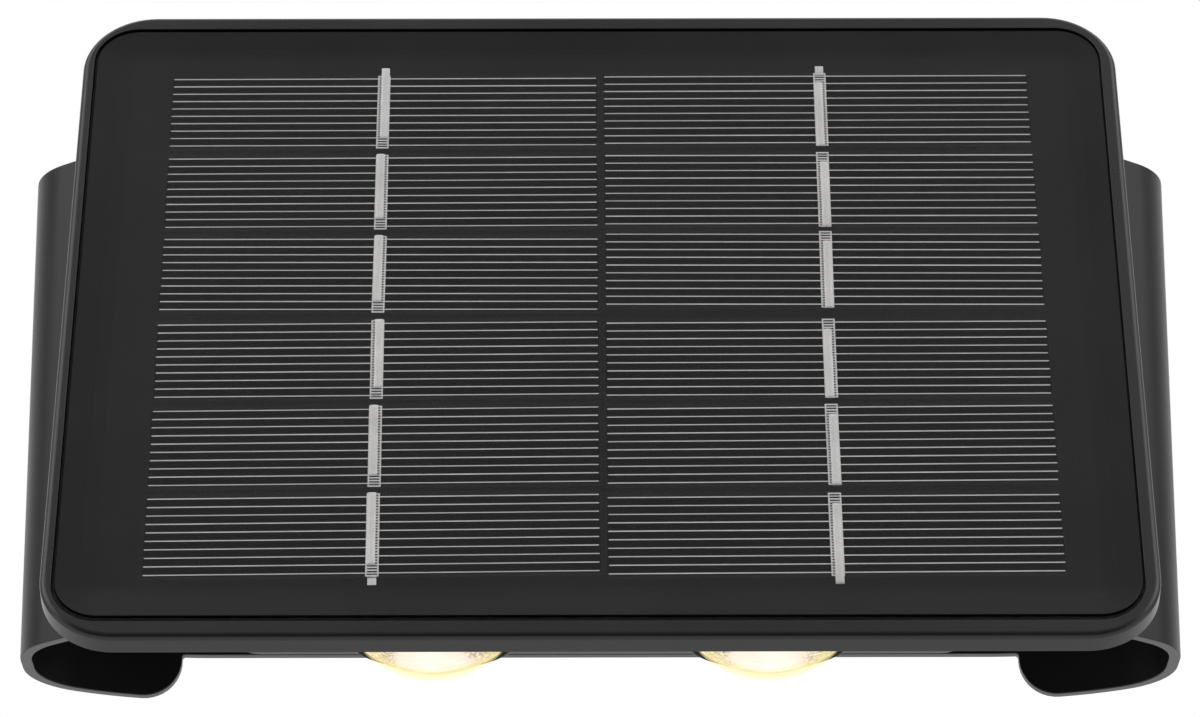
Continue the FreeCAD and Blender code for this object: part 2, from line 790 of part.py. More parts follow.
def make_led_board_screws():
    fixing = screw(small_screw_radius, small_screw_length, small_screw_head_radius,
                   small_screw_head_height)
    return group([moved(fixing.copy(), side * led_post_x, -lens_reach, led_board_high)
                  for side in (-1, 1)])


# ---------------------------------------------------------------- write every piece
def main():
    os.makedirs("parts", exist_ok=True)
    save("wrap_shell", make_wrap_shell())
    save("lamp_body", make_lamp_body())
    save("panel_frame", make_panel_frame())
    save("body_gasket", make_body_gasket())
    save("panel_cover", make_pane_layer(cover_front, cover_back))
    save("panel_backing", make_pane_layer(cell_back, backing_back))
    save("panel_adhesive", make_adhesive())
    save("solar_cells", make_solar_cells())
    save("cell_ribbons", make_cell_ribbons())
    for side, x in lens_places.items():
        save("lens_" + side, make_lens(x))
        save("reflector_" + side, make_reflector(x))
    save("led_board", make_led_board())
    save("led_chips", make_led_chips())
    save("switch_body", make_switch_body())
    save("switch_button", make_switch_button())
    save("switch_stem", make_switch_stem())
    save("control_board", make_control_board())
    save("control_chip", make_control_chip())
    save("charge_coil", make_charge_coil())
    save("capacitor", make_capacitor())
    save("battery", make_battery())
    save("battery_cradle", make_cradle())
    save("contact_plate_negative", make_contact_plate(-1))
    save("contact_plate_positive", make_contact_plate(1))
    save("contact_spring", make_contact_spring())
    save("solar_leads", make_solar_leads())
    save("battery_leads", make_battery_leads())
    save("led_leads", make_led_leads())
    save("frame_screws", make_frame_screws())
    save("shell_screws", make_shell_screws())
    save("led_board_screws", make_led_board_screws())


main()
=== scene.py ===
# %% [markdown]
# # A solar fence light
#
# The object is a small light that hangs on a fence. A tilted solar panel in a thin black rim closes
# a compact body, two clear domes look down out of that body, and a curved shell wraps round behind
# it and ends in two curled wings.
#
# The solids come from the packed model, so every piece here is placed from their boxes. Lengths are
# in metres, with X to the right, Y into the fence and Z up.

# %% Load the model
import json
import math
import random

import bmesh
import bpy
from mathutils import Matrix, Vector


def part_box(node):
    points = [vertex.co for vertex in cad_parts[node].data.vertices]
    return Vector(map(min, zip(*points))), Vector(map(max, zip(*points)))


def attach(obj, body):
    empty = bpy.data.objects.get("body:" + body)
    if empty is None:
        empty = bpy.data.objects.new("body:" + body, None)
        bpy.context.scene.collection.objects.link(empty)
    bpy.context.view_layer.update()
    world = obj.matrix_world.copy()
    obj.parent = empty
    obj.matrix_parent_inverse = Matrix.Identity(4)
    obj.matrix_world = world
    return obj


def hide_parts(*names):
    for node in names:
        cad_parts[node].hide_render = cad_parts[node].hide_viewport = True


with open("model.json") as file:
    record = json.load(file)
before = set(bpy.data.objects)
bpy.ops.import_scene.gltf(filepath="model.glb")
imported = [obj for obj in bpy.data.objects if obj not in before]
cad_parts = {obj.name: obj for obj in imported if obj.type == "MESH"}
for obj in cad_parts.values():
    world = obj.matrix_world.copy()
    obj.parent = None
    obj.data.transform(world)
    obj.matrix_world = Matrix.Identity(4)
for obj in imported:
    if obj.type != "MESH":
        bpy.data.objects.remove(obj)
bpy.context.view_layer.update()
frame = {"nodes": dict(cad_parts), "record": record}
nodes = frame["nodes"]
scene = bpy.context.scene
mm = 0.001

# %% [markdown]
# ## The camera
#
# The picture was taken with a long lens from a little below the light, so upright edges hardly
# converge. A long focal length and a camera that looks up by about twenty degrees give that view.
# The small roll is there because level edges in the picture rise slightly to the right.

# %% Camera
image_width = 1200
focal_pixels = 5393
sensor_width = 36.0
camera_place = Vector((0.0, -638.2, -226.9)) * mm
camera_pitch = math.radians(20.7)
camera_roll = math.radians(-0.09)

lens = bpy.data.cameras.new("camera")
lens.sensor_width = sensor_width
lens.lens = focal_pixels / image_width * sensor_width
lens.clip_start = 10 * mm
camera = bpy.data.objects.new("camera", lens)
scene.collection.objects.link(camera)
aim = Matrix.Rotation(math.radians(90) + camera_pitch, 4, "X")
camera.matrix_world = Matrix.Translation(camera_place) @ aim @ Matrix.Rotation(camera_roll, 4, "Z")
scene.camera = camera
print("focal length:", round(lens.lens, 1), "mm")

# %% [markdown]
# ## Shader maths as sums
#
# Finishes are mostly small sums: a cloud of noise, plus a finer one, times a strength. A class that
# wraps an output socket and knows plus, minus and times lets them be written as sums. One method
# makes every other node, so that a finish reads from top to bottom.

# %% The wire
class Wire:
    """One output socket. Sums and products of wires and numbers add the Math nodes."""

    def __init__(self, socket):
        self.socket = socket
        self.tree = socket.id_data

    @classmethod
    def make(cls, tree, kind, settings=None, sockets=None, output=0):
        """A node with its settings made first, then the value or link of each socket."""
        node = tree.nodes.new(kind)
        for name, value in (settings or {}).items():
            if name == "stops":
                cls.set_stops(node.color_ramp, value)
            else:
                setattr(node, name, value)
        for name, value in (sockets or {}).items():
            if isinstance(value, Wire):
                tree.links.new(value.socket, node.inputs[name])
            else:
                node.inputs[name].default_value = value
        return cls(node.outputs[output]) if len(node.outputs) else None

    @staticmethod
    def set_stops(ramp, stops):
        while len(ramp.elements) < len(stops):
            ramp.elements.new(0.5)
        for element, (position, colour) in zip(ramp.elements, stops):
            element.position = position
            element.color = (*colour, 1.0)

    def maths(self, operation, first, second):
        return Wire.make(self.tree, "ShaderNodeMath", {"operation": operation}, {0: first, 1: second})

    def __add__(self, other):
        return self.maths("ADD", self, other)

    def __radd__(self, other):
        return self.maths("ADD", other, self)

    def __sub__(self, other):
        return self.maths("SUBTRACT", self, other)

    def __rsub__(self, other):
        return self.maths("SUBTRACT", other, self)

    def __mul__(self, other):
        return self.maths("MULTIPLY", self, other)

    def __rmul__(self, other):
        return self.maths("MULTIPLY", other, self)

    def above(self, floor):
        """The wire's value, or this number where the value is less."""
        return self.maths("MAXIMUM", self, floor)


print("a wire's methods:", [name for name in vars(Wire) if callable(getattr(Wire, name))])

# %% [markdown]
# ## The room
#
# Black plastic shows mostly what it reflects. The room is dark in front, where the camera stands,
# dim above and white behind, so that the panel's face reads nearly black while every edge that
# turns down or back lights up. The camera and clear plastic see plain white, and so do glossy
# rays that run towards the back.

# %% Room
world = bpy.data.worlds.new("studio")
scene.world = world
world.use_nodes = True
tree = world.node_tree
tree.nodes.clear()
camera_ray = Wire.make(tree, "ShaderNodeLightPath", output="Is Camera Ray")
clear_ray = Wire.make(tree, "ShaderNodeLightPath", output="Is Transmission Ray")
glossy_ray = Wire.make(tree, "ShaderNodeLightPath", output="Is Glossy Ray")
direction = Wire.make(tree, "ShaderNodeTexCoord", output="Generated")
back = Wire.make(tree, "ShaderNodeSeparateXYZ", {}, {0: direction}, output="Y")
height = Wire.make(tree, "ShaderNodeSeparateXYZ", {}, {0: direction}, output="Z")
behind = Wire.make(tree, "ShaderNodeClamp", {}, {"Value": 1.6 * back - 0.5})
dim_level = 0.10
light_above = 0.42
light_behind = 0.30
level = dim_level + light_above * height.above(0) + light_behind * back.above(0)
grey_stops = [(0.0, (0.0, 0.0, 0.0)), (1.0, (1.0, 1.0, 1.0))]
dim_room = Wire.make(tree, "ShaderNodeValToRGB", {"stops": grey_stops}, {0: level})
dim = Wire.make(tree, "ShaderNodeBackground", {}, {"Color": dim_room, "Strength": 1.0})
white = Wire.make(tree, "ShaderNodeBackground", {}, {"Color": (1, 1, 1, 1), "Strength": 1.0})
white_share = camera_ray + clear_ray + glossy_ray * behind
mixed = Wire.make(tree, "ShaderNodeMixShader", {}, {0: white_share, 1: dim, 2: white})
Wire.make(tree, "ShaderNodeOutputWorld", {}, {"Surface": mixed})
scene.view_settings.view_transform = "Standard"
print("room: dim", dim_level, "above", light_above, "behind", light_behind, "nodes", len(tree.nodes))

# %% [markdown]
# ## The floor
#
# The light hangs above a pale floor that ends a little in front of it, like the edge of a table.
# It stays out of the main picture, but the undersides mirror it.

# %% Floor
floor_height = -300 * mm
floor_half = 3.0
floor_front = -0.45
floor_mesh = bpy.data.meshes.new("floor")
floor_corners = [(-floor_half, floor_front), (floor_half, floor_front),
                 (floor_half, 2 * floor_half), (-floor_half, 2 * floor_half)]
floor_mesh.from_pydata([(x, y, floor_height) for x, y in floor_corners], [], [(0, 1, 2, 3)])
floor = bpy.data.objects.new("floor", floor_mesh)
scene.collection.objects.link(floor)
pale = bpy.data.materials.new("pale_floor")
pale.use_nodes = True
tree = pale.node_tree
tree.nodes.clear()
matte = Wire.make(tree, "ShaderNodeBsdfPrincipled", {}, {"Base Color": (0.82, 0.82, 0.82, 1.0),
                                                         "Roughness": 0.9})
white_page = Wire.make(tree, "ShaderNodeEmission", {}, {"Color": (1, 1, 1, 1), "Strength": 1.0})
glossy_ray = Wire.make(tree, "ShaderNodeLightPath", output="Is Glossy Ray")
clear_ray = Wire.make(tree, "ShaderNodeLightPath", output="Is Transmission Ray")
mirrored = glossy_ray + clear_ray
shown = Wire.make(tree, "ShaderNodeMixShader", {}, {0: mirrored, 1: matte, 2: white_page})
Wire.make(tree, "ShaderNodeOutputMaterial", {}, {"Surface": shown})
floor_mesh.materials.append(pale)
print("floor:", round(floor_height / mm), "mm high, front edge at", round(floor_front / mm), "mm")

# %% [markdown]
# ## The lamps
#
# Two tall soft boxes stand to the left and right, a little in front. They light the cells from the
# sides, so that the silver lines show without a sheen on the black, and they draw the bright lines
# along the outer edges. Two more stand higher up and a weaker one hangs above. None of them is where
# the pane would mirror it towards the camera.


# %% Lamps
def softbox(name, place, target, width, height, brightness):
    """A soft rectangular lamp whose face is this bright, where 1 is white."""
    lamp = bpy.data.lights.new(name, "AREA")
    lamp.shape = "RECTANGLE"
    lamp.size = width
    lamp.size_y = height
    lamp.energy = brightness * math.pi * width * height
    lamp_object = bpy.data.objects.new(name, lamp)
    scene.collection.objects.link(lamp_object)
    towards = Vector(target) - Vector(place)
    lamp_object.matrix_world = (Matrix.Translation(place)
                                @ towards.to_track_quat("-Z", "Y").to_matrix().to_4x4())
    lamp_object.visible_camera = False
    return lamp_object


middle = (0, -0.03, 0)
softbox("left", (-0.95, -0.40, 0.15), middle, 0.9, 1.2, 0.95)
softbox("right", (0.95, -0.40, 0.15), middle, 0.9, 1.2, 0.90)
softbox("high_left", (-0.70, -0.40, 0.80), middle, 0.8, 0.9, 1.65)
softbox("high_right", (0.70, -0.40, 0.80), middle, 0.8, 0.9, 1.65)
softbox("above", (0.0, 0.10, 1.0), middle, 1.2, 0.6, 0.9)

# %% [markdown]
# ## Finishes
#
# Every finish has the same make-up: a colour that drifts a little, a roughness that drifts with it,
# and a fine bump for the grain of the mould or the brushing of the metal. Sizes are real ones, as
# the noise runs on the object's own coordinates in metres.


# %% Parts of a finish
def finish(name):
    """A new material and its emptied node tree."""
    material = bpy.data.materials.new(name)
    material.use_nodes = True
    material.node_tree.nodes.clear()
    return material, material.node_tree


def noise(tree, size, detail=2.0, stretch=(1, 1, 1)):
    """Noise from 0 to 1 with features of this size in metres, drawn out along an axis."""
    place = Wire.make(tree, "ShaderNodeTexCoord", output="Object")
    place = Wire.make(tree, "ShaderNodeMapping", {}, {"Vector": place, "Scale": stretch})
    return Wire.make(tree, "ShaderNodeTexNoise", {},
                     {"Vector": place, "Scale": 1 / size, "Detail": detail})


def ramp(tree, factor, stops):
    return Wire.make(tree, "ShaderNodeValToRGB", {"stops": stops}, {0: factor})


def bump(tree, height, distance, strength=1.0):
    return Wire.make(tree, "ShaderNodeBump", {},
                     {"Height": height, "Distance": distance, "Strength": strength})


def surface(tree, sockets):
    """The shader and the output. Constants stay on the shader's own sockets."""
    shader = Wire.make(tree, "ShaderNodeBsdfPrincipled", {}, sockets)
    Wire.make(tree, "ShaderNodeOutputMaterial", {}, {"Surface": shader})


def moulded(name, dark, light, roughness, grain=6e-6, grain_size=0.35 * mm, specular=0.5):
    """Moulded plastic: a cloudy colour and the fine grain that the tool leaves."""
    material, tree = finish(name)
    cloud = noise(tree, 18 * mm, 3)
    fine = noise(tree, grain_size, 2)
    surface(tree, {"Base Color": ramp(tree, cloud, [(0.3, dark), (0.7, light)]),
                   "Roughness": roughness + (cloud - 0.5) * 0.1 + (fine - 0.5) * 0.08,
                   "Specular IOR Level": specular,
                   "Normal": bump(tree, fine, grain)})
    return material


def metal(name, dark, light, roughness, stretch=(1, 1, 1), streak=0.6 * mm):
    """Bare or plated metal with brushing or flow marks drawn out along one axis."""
    material, tree = finish(name)
    cloud = noise(tree, 4 * mm, 3)
    streaks = noise(tree, streak, 2, stretch)
    surface(tree, {"Base Color": ramp(tree, cloud, [(0.3, dark), (0.7, light)]),
                   "Metallic": 1.0,
                   "Roughness": roughness + (streaks - 0.5) * 0.2,
                   "Normal": bump(tree, streaks, 8e-6)})
    return material


finishes = {
    "shell_black": moulded("shell_abs", (0.0080, 0.0076, 0.0076), (0.0105, 0.0099, 0.0099), 0.36,
                           grain=9e-6, specular=0.42),
    "body_black": moulded("body_abs", (0.0070, 0.0067, 0.0067), (0.0095, 0.0091, 0.0091), 0.40),
    "frame_black": moulded("rim_abs", (0.0060, 0.0056, 0.0055), (0.0085, 0.0079, 0.0077), 0.30,
                           grain=9e-6, specular=0.47),
    "gasket": moulded("sponge_rubber", (0.012, 0.012, 0.012), (0.022, 0.022, 0.022), 0.85,
                      grain=4e-5, grain_size=0.6 * mm),
    "foam_tape": moulded("foam", (0.6, 0.6, 0.58), (0.75, 0.75, 0.72), 0.9),
    "reflector_white": moulded("white_plastic", (0.78, 0.77, 0.74), (0.88, 0.87, 0.85), 0.3),
    "board_white": moulded("white_mask", (0.7, 0.7, 0.68), (0.82, 0.82, 0.8), 0.3),
    "board_green": moulded("green_mask", (0.02, 0.11, 0.04), (0.04, 0.17, 0.06), 0.25),
    "led_phosphor": moulded("phosphor", (0.85, 0.62, 0.16), (0.95, 0.75, 0.25), 0.5),
    "switch_black": moulded("switch_plastic", (0.02, 0.02, 0.02), (0.03, 0.03, 0.03), 0.5),
    "button_rubber": moulded("button_rubber", (0.014, 0.014, 0.014), (0.022, 0.022, 0.022), 0.62,
                             grain=1.2e-5),
    "chip_black": moulded("epoxy", (0.015, 0.015, 0.015), (0.03, 0.03, 0.03), 0.55),
    "capacitor_sleeve": moulded("dark_sleeve", (0.02, 0.025, 0.07), (0.03, 0.035, 0.09), 0.3),
    "battery_sleeve": moulded("blue_sleeve", (0.03, 0.12, 0.32), (0.05, 0.17, 0.42), 0.28),
    "cradle_plastic": moulded("cradle_abs", (0.03, 0.03, 0.03), (0.045, 0.045, 0.045), 0.5),
    "lead_red": moulded("red_sheath", (0.35, 0.02, 0.02), (0.5, 0.03, 0.03), 0.45),
    "lead_black": moulded("black_sheath", (0.02, 0.02, 0.02), (0.03, 0.03, 0.03), 0.45),
    "panel_board": moulded("panel_board", (0.0090, 0.0090, 0.0093), (0.0115, 0.0115, 0.0118), 0.36,
                           grain=2e-6, specular=0.2),
    "contact_metal": metal("nickel", (0.55, 0.54, 0.52), (0.66, 0.65, 0.62), 0.3),
    "screw_steel": metal("zinc", (0.42, 0.43, 0.45), (0.58, 0.58, 0.6), 0.34),
}
print("finishes:", len(finishes))

# %% [markdown]
# ## The moulded pieces
#
# The shell, the body and the button keep their solids, because their shapes are right. What a solid
# lacks is the tiny rounding along each edge, where black plastic catches a thin line of light. A
# bevel on the sharp edges adds it, and weighted normals keep the flat faces flat.


# %% Dress the solids
def soften_edges(node, width, sharp=35, segments=3):
    piece = nodes[node]
    piece.data.polygons.foreach_set("use_smooth", [True] * len(piece.data.polygons))
    weld = piece.modifiers.new("weld", "WELD")
    weld.merge_threshold = 1e-6
    flat = piece.modifiers.new("flat_faces", "DECIMATE")
    flat.decimate_type = "DISSOLVE"
    flat.angle_limit = math.radians(0.5)
    edge = piece.modifiers.new("edge", "BEVEL")
    edge.width = width
    edge.segments = segments
    edge.limit_method = "ANGLE"
    edge.angle_limit = math.radians(sharp)
    edge.use_clamp_overlap = False
    piece.modifiers.new("normals", "WEIGHTED_NORMAL")


slots = {part["node"]: part["material_slot"] for part in frame["record"]["subparts"]}
for name, piece in nodes.items():
    if slots[name] in finishes:
        for place in piece.material_slots:
            place.material = finishes[slots[name]]
soften_edges("wrap_shell", 0.14 * mm)
soften_edges("lamp_body", 0.3 * mm)
soften_edges("switch_button", 0.5 * mm)
print("dressed:", [name for name in nodes if slots[name] in finishes])

# %% [markdown]
# ## The panel's own axes
#
# The pane leans back, so the cells and their printed lines are laid out on three axes of its own:
# right, up the pane, and out of it. The pane's box gives the middle, and the lean gives the rest.

# %% Axes of the pane
panel_lean = math.radians(20.5)
glaze_thickness = 0.4 * mm
pane_recess = 0.1 * mm
across = Vector((1, 0, 0))
upward = Vector((0, math.sin(panel_lean), math.cos(panel_lean)))
outward = Vector((0, -math.cos(panel_lean), math.sin(panel_lean)))
pane_low, pane_high = (Vector(corner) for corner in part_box("panel_cover"))
glaze_back = (pane_low + pane_high) / 2 - outward * glaze_thickness / 2
rim_front = glaze_thickness + pane_recess


def pane_point(u, v, w):
    """A point u to the right, v up the pane and w out of it, from the back of the glazing."""
    return glaze_back + across * u + upward * v + outward * w


print("middle of the pane in mm:", [round(value / mm, 1) for value in pane_point(0, 0, 0)])

# %% [markdown]
# ## New pieces and their volume
#
# A piece made here is a mesh of listed points and faces with one material. Its signed volume is a
# quick test of the mesh: it comes out negative where the faces point inwards.


# %% A piece and its volume
def new_piece(name, points, faces, material):
    mesh = bpy.data.meshes.new(name)
    mesh.from_pydata(points, [], faces)
    mesh.materials.append(material)
    mesh.validate()
    piece = bpy.data.objects.new(name, mesh)
    scene.collection.objects.link(piece)
    return piece


def volume_of(mesh):
    """The signed volume in cubic millimetres."""
    shape = bmesh.new()
    shape.from_mesh(mesh)
    volume = shape.calc_volume(signed=True) / mm ** 3
    shape.free()
    return round(volume, 3)


print("solid of the shell in mm3:", volume_of(nodes["wrap_shell"].data))

# %% [markdown]
# ## Bands of rings
#
# The rim, the joint, the board and the glazing all follow the same outline, a rectangle with round
# corners. Each of them is a stack of such rings, joined one to the next, because a ring can be set
# back or lifted by itself to draw the profile.


# %% Rings
def ring_of(outline, corner, w, outset=0.0, arc_steps=16, side_steps=24):
    """Points round a rectangle with round corners, at one height w. All rings have as many.

    The outline is its (left, right, bottom, top). The outset widens it on all four sides.
    """
    left, right, bottom, top = outline
    middle_u, middle_v = (left + right) / 2, (bottom + top) / 2
    half_u, half_v = (right - left) / 2 + outset, (top - bottom) / 2 + outset
    corner = corner + outset
    ring = []
    for turn in range(4):
        side_u, side_v = ((1, -1), (1, 1), (-1, 1), (-1, -1))[turn]
        along_u, along_v = ((0, 1), (-1, 0), (0, -1), (1, 0))[turn]
        centre_u = middle_u + side_u * (half_u - corner)
        centre_v = middle_v + side_v * (half_v - corner)
        for step in range(arc_steps + 1):
            angle = math.pi / 2 * (turn - 1 + step / arc_steps)
            ring.append((centre_u + corner * math.cos(angle), centre_v + corner * math.sin(angle), w))
        u, v, _ = ring[-1]
        length = 2 * ((half_v if turn % 2 == 0 else half_u) - corner)
        ring += [(u + along_u * length * step / side_steps, v + along_v * length * step / side_steps, w)
                 for step in range(1, side_steps)]
    return ring


def joined_rings(name, rings, material, capped=False):
    """A band through rings of as many points. It closes on its first ring, or gets two flat caps."""
    around = len(rings[0])
    points = [pane_point(*point) for ring in rings for point in ring]
    faces = []
    for index in range(len(rings) - 1 if capped else len(rings)):
        here, there = index * around, (index + 1) % len(rings) * around
        faces += [(here + step, here + (step + 1) % around, there + (step + 1) % around, there + step)
                  for step in range(around)]
    if capped:
        faces.append(tuple(reversed(range(around))))
        faces.append(tuple(range((len(rings) - 1) * around, len(rings) * around)))
    piece = new_piece(name, points, faces, material)
    piece.data.polygons.foreach_set("use_smooth", [not capped] * len(piece.data.polygons))
    return piece


print("points in a ring:", len(ring_of((-1, 1, -1, 1), 0.1, 0)))

# %% [markdown]
# ## The rim
#
# The rim is moulded with a small round along its front edge. That round draws the dark line and the
# bright line along the panel's lower edge, so it has to be smooth. This skin lies a few hundredths of
# a millimetre over the solid, whose edge is a plain chamfer. It is a profile of rings, from the back
# of the side wall over the round and the flat front into the joint beside the pane.
#
# The pane was dropped in by hand. It sits a little high and to the left in the rim, so the joint is
# widest below it. The four sides of the rim, of the opening and of the pane are written down one by
# one.

# %% Rim skin
frame_drop = 0.17 * mm
frame_outline = (-62.75 * mm, 62.75 * mm, -48.35 * mm - frame_drop, 48.35 * mm - frame_drop)
frame_corner = 8.6 * mm
frame_depth = 2.75 * mm
opening = (-61.45 * mm, 60.95 * mm, -46.30 * mm, 46.05 * mm)
opening_corner = 5.4 * mm
pane = (-61.05 * mm, 60.70 * mm, -45.35 * mm, 45.70 * mm)
pane_corner = 5.0 * mm
joint_depth = 1.6 * mm
front_round = 0.70 * mm
inner_round = 0.04 * mm
skin = 0.03 * mm
back_inset = 0.8 * mm
round_steps = 10
inner_steps = 3
front = rim_front + skin


def outer_ring(inset, depth):
    return ring_of(frame_outline, frame_corner, front - depth, skin - inset)


def inner_ring(outset, depth):
    return ring_of(opening, opening_corner, front - depth, outset)


def quarter(radius, steps):
    """(inset, depth) steps over a quarter round, from the side to the face."""
    angles = [math.pi / 2 * step / steps for step in range(steps + 1)]
    return [(radius * (1 - math.cos(a)), radius * (1 - math.sin(a))) for a in angles]


crease = 0.02 * mm
rim_rings = [outer_ring(0, frame_depth), outer_ring(0, frame_depth - crease),
             outer_ring(0, front_round + crease)]
rim_rings += [outer_ring(inset, depth) for inset, depth in quarter(front_round, round_steps)]
rim_rings += [outer_ring(front_round + crease, 0), inner_ring(inner_round + crease, 0)]
rim_rings += [inner_ring(inset, depth) for inset, depth in reversed(quarter(inner_round, inner_steps))]
rim_rings += [inner_ring(0, inner_round + crease), inner_ring(0, joint_depth - crease),
              inner_ring(0, joint_depth), outer_ring(back_inset, frame_depth),
              outer_ring(crease, frame_depth)]
rim = joined_rings("rim_skin", rim_rings, finishes["frame_black"])
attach(rim, "lamp")
print("rim rings:", len(rim_rings), "faces:", len(rim.data.polygons))

# %% [markdown]
# ## The opening
#
# The solid rim has its pane in the middle, so a little of it has to go where the real opening
# reaches further. A slab with round corners is cut out of a copy of it with a boolean, as the skin
# over it can add plastic but can't take any away. The copy lies lower by the same hair as the skin.


# %% Cut copies
def cut_copy(name, node, cutters, material, move=Vector((0, 0, 0))):
    """A piece that replaces a solid: a copy of it, moved a little, with the cutters taken away."""
    piece = bpy.data.objects.new(name, nodes[node].data.copy())
    piece.data.transform(Matrix.Translation(move))
    scene.collection.objects.link(piece)
    weld = piece.modifiers.new("weld", "WELD")
    weld.merge_threshold = 1e-6
    for cutter in cutters:
        cut = piece.modifiers.new("cut", "BOOLEAN")
        cut.operation = "DIFFERENCE"
        cut.object = cutter
    bpy.context.view_layer.update()
    mesh = bpy.data.meshes.new_from_object(piece.evaluated_get(bpy.context.evaluated_depsgraph_get()))
    piece.modifiers.clear()
    piece.data = mesh
    for cutter in cutters:
        bpy.data.objects.remove(cutter)
    mesh.materials.clear()
    mesh.materials.append(material)
    mesh.polygons.foreach_set("use_smooth", [False] * len(mesh.polygons))
    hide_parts(node)
    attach(piece, "lamp")
    return piece


floor_level = -1.34 * mm
cutter_top = 2 * mm
opening_cutter = joined_rings("cutter", [ring_of(opening, opening_corner, floor_level),
                                         ring_of(opening, opening_corner, cutter_top)],
                              finishes["frame_black"], capped=True)
opened = cut_copy("rim_opened", "panel_frame", [opening_cutter], finishes["frame_black"],
                  upward * -frame_drop)
print("rim in mm3 before and after:", volume_of(nodes["panel_frame"].data), volume_of(opened.data))

# %% [markdown]
# ## Slabs on the pane
#
# Strips, printed lines and rungs are all thin flat slabs, some of them turned a little. Hundreds of
# them go into one mesh, which is far quicker than an object for each.


# %% Slabs
slab_quads = [(3, 2, 1, 0), (4, 5, 6, 7), (0, 1, 5, 4), (1, 2, 6, 5), (2, 3, 7, 6), (3, 0, 4, 7)]


def slabs(name, places, material):
    """Many thin slabs in one mesh. A place is (u, v, low, high, half width, half height, turn)."""
    points = []
    faces = []
    for u, v, low, high, half_u, half_v, turn in places:
        first = len(points)
        for w in (low, high):
            for side_u, side_v in ((-1, -1), (1, -1), (1, 1), (-1, 1)):
                du = side_u * half_u * math.cos(turn) - side_v * half_v * math.sin(turn)
                dv = side_u * half_u * math.sin(turn) + side_v * half_v * math.cos(turn)
                points.append(pane_point(u + du, v + dv, w))
        faces += [tuple(first + corner for corner in quad) for quad in slab_quads]
    return new_piece(name, points, faces, material)


print("faces of a slab:", len(slab_quads))

# %% [markdown]
# ## The cells
#
# Two columns of six silicon strips lie a little crooked, as they are placed by hand. Each strip has
# a nearly black field between paler bare edges. The field is a slab of its own on the strip, so the
# bands between the cells show as they do on the real panel.

# %% Silicon
silicon, tree = finish("silicon")
cloud = noise(tree, 9 * mm, 3)
streaks = noise(tree, 1.2 * mm, 2, (1, 12, 12))
surface(tree, {"Base Color": ramp(tree, cloud, [(0.3, (0.0065, 0.0058, 0.0060)),
                                                (0.7, (0.0085, 0.0076, 0.0079))]),
               "Roughness": 0.42 + (streaks - 0.5) * 0.1,
               "Specular IOR Level": 0.13,
               "Normal": bump(tree, streaks, 1.5e-6)})
bare_silicon = moulded("bare_silicon", (0.0135, 0.0135, 0.0140), (0.0170, 0.0170, 0.0175), 0.40,
                       grain=1e-6, specular=0.2)

cell_width = 51.9 * mm
cell_height = 12.6 * mm
cell_pitch_u = 52.25 * mm
cell_pitch_v = 13.2 * mm
cells_drop = 0.3 * mm
ribbon_room = 0.15 * mm
cell_thickness = 0.2 * mm
field_width = 51.5 * mm
field_height = 11.5 * mm
field_thickness = 0.01 * mm
# how far each strip lies off its place up the pane, and how many degrees it is turned, from the top
left_shift = [-0.1, -0.1, -0.1, -0.2, -0.2, -0.1]
left_turn = [0.15, 0.3, -0.05, 0.5, 0.65, 0.7]
right_shift = [0.25, 0.25, 0.6, -0.1, 0.0, -0.1]
right_turn = [0.15, 0.05, -0.15, 0.25, 0.5, 0.4]


def cell_rows():
    """(column, row from the top, u, v, turn) of each strip's middle."""
    for column, shifts, turns in ((0, left_shift, left_turn), (1, right_shift, right_turn)):
        for row in range(6):
            drift = (0.1 + 0.06 * row) * mm
            u = (column - 0.5) * cell_pitch_u + drift
            v = (2.5 - row) * cell_pitch_v - cells_drop + shifts[row] * mm
            yield column, row, u, v, math.radians(turns[row])


cell_top = -ribbon_room
field_top = cell_top + field_thickness
strips = slabs("silicon_strips", [(u, v, cell_top - cell_thickness, cell_top, cell_width / 2,
                                   cell_height / 2, turn) for _, _, u, v, turn in cell_rows()],
               bare_silicon)
fields = slabs("silicon_fields", [(u, v, cell_top, field_top, field_width / 2, field_height / 2, turn)
                                  for _, _, u, v, turn in cell_rows()], silicon)
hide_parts("solar_cells")
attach(strips, "lamp")
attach(fields, "lamp")
print("strips:", len(strips.data.polygons) // 6)

# %% [markdown]
# ## The board
#
# The cells lie in the resin of a black board, so that only their top faces show. The board has the
# outline of the pane over it. Round the cells the resin climbs gently to the pane's edge, so that
# neither the board's edge nor a shadow of it shows through the pane.

# %% Board
board_top = cell_top - field_thickness
board_back = -1.15 * mm
board = joined_rings("panel_board", [ring_of(pane, pane_corner, board_back),
                                     ring_of(pane, pane_corner, board_top)],
                     finishes["panel_board"], capped=True)
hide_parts("panel_backing")
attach(board, "lamp")
border_slope = 3.0 * mm
border_ease = 2.2 * mm
border_dip = 0.02 * mm
border_edge = 0.34 * mm
border_shoulder = 0.7 * mm
least_corner = 1.0 * mm
ease_steps = 6
border_rise = border_edge - board_top + border_dip
border_tilt = border_rise / (border_slope + border_ease / 2)
border_profile = [(0.0, border_rise - crease)]
border_profile += [(inset, border_rise - border_tilt * inset)
                   for inset in (crease, 3 * crease, border_shoulder)]
for step in range(ease_steps + 1):
    to_go = 1 - step / ease_steps
    border_profile.append((border_slope + border_ease * (1 - to_go),
                           border_tilt * border_ease / 2 * to_go * to_go))
border_rings = [ring_of(pane, pane_corner, board_top - border_dip)]
for inset, lift in border_profile:
    flat_corner = max(pane_corner, inset + least_corner)
    border_rings.append(ring_of(pane, flat_corner, board_top - border_dip + lift, -inset))
border = joined_rings("pane_border", border_rings, finishes["panel_board"])
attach(border, "lamp")
print("board faces:", len(board.data.polygons), "border faces:", len(border.data.polygons))

